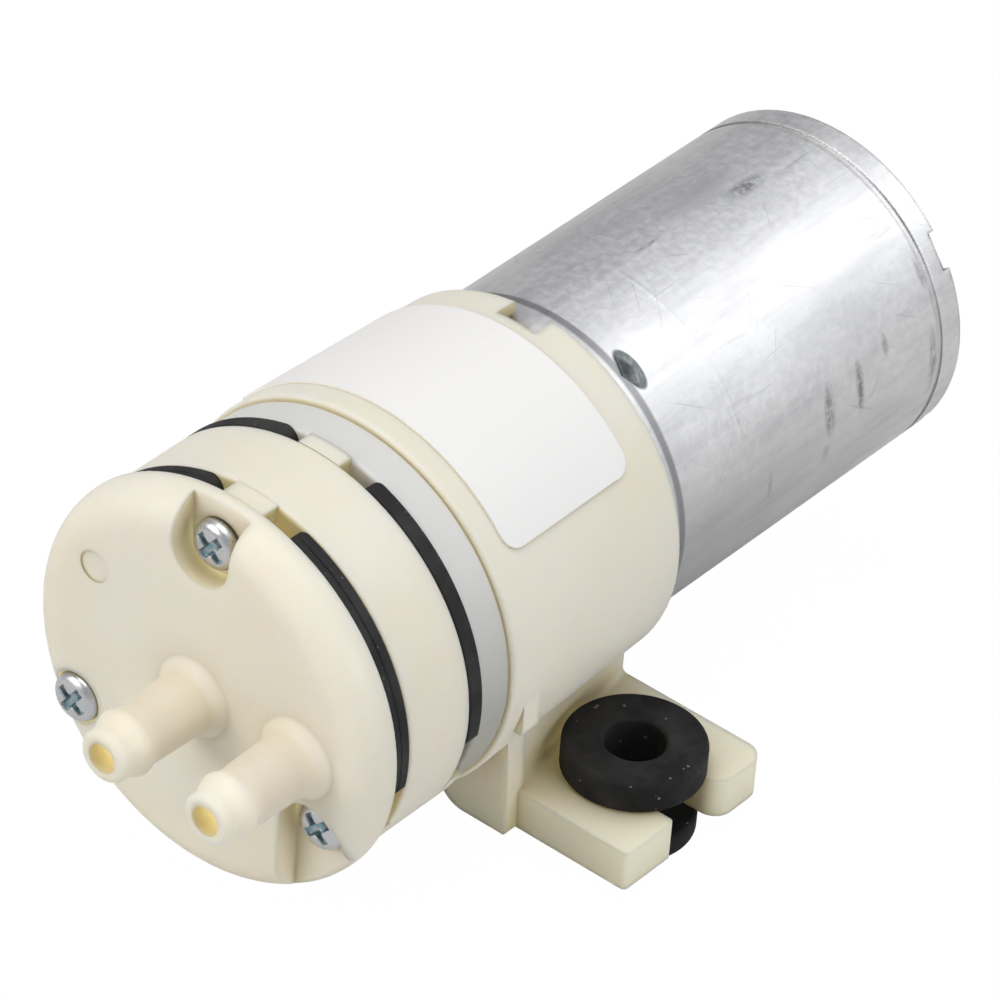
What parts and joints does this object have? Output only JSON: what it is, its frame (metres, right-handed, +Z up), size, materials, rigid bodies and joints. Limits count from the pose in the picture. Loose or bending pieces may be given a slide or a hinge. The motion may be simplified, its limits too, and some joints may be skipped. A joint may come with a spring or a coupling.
{
  "type": "diaphragm vacuum pump",
  "caption": "Small motor-driven diaphragm vacuum pump with a round head, hose nozzles and a foot on rubber grommets.",
  "frame": {"origin": "midway between the two mounting grommets, in the plane on which they stand", "axes": "+Y along the pump axis from the nozzles to the motor, +Z up from the foot, +X towards the inlet nozzle"},
  "size_m": [0.0446, 0.0851, 0.0372],
  "materials": {
    "cream_plastic": "moulded engineering plastic, satin gloss",
    "grey_plastic": "milky translucent moulded plastic",
    "sheet_rubber": "thin moulded rubber, matt",
    "grommet_rubber": "soft moulded rubber, matt",
    "screw_steel": "zinc plated steel",
    "label_paper": "white coated paper",
    "can_steel": "drawn steel, plated, scuffed",
    "cap_plastic": "moulded nylon",
    "terminal_metal": "tinned brass",
    "bush_bronze": "sintered bronze",
    "magnet_ferrite": "sintered ferrite",
    "brush_carbon": "pressed carbon",
    "copper": "enamelled copper wire and copper",
    "shaft_steel": "ground steel",
    "core_steel": "stacked electrical sheet",
    "white_nylon": "moulded acetal"
  },
  "bodies": {
    "root": {"head_cover": "cream_plastic", "cover_gasket": "sheet_rubber", "valve_sheet": "sheet_rubber", "valve_body": "cream_plastic", "intake_valves": "sheet_rubber", "diaphragm": "sheet_rubber", "diaphragm_holder": "grey_plastic", "pump_case": "cream_plastic", "cover_screws": "screw_steel", "motor_screws": "screw_steel", "grommet_right": "grommet_rubber", "grommet_left": "grommet_rubber", "case_label": "label_paper", "motor_can": "can_steel", "motor_end_cap": "cap_plastic", "motor_terminals": "terminal_metal", "front_bearing": "bush_bronze", "rear_bearing": "bush_bronze", "magnets": "magnet_ferrite", "brushes": "brush_carbon", "brush_arms": "copper"},
    "rotor": {"motor_shaft": "shaft_steel", "armature_core": "core_steel", "windings": "copper", "commutator": "copper", "eccentric": "white_nylon", "wobble_pin": "shaft_steel"},
    "wobble": {"wobble_plate": "white_nylon"}
  },
  "joints": [
    {"name": "shaft_spin", "type": "hinge", "parent": "root", "child": "rotor", "pos_m": [0, 0, 0.021], "axis": [0, 1, 0], "continuous": true},
    {"name": "plate_wobble", "type": "hinge", "parent": "rotor", "child": "wobble", "pos_m": [0, -0.0118, 0.021], "axis": [0, 0.9877, 0.1564], "continuous": true, "deforming": ["diaphragm"]}
  ],
  "couplings": [
    {"joint": "plate_wobble", "follows": "shaft_spin", "ratio": -1}
  ]
}
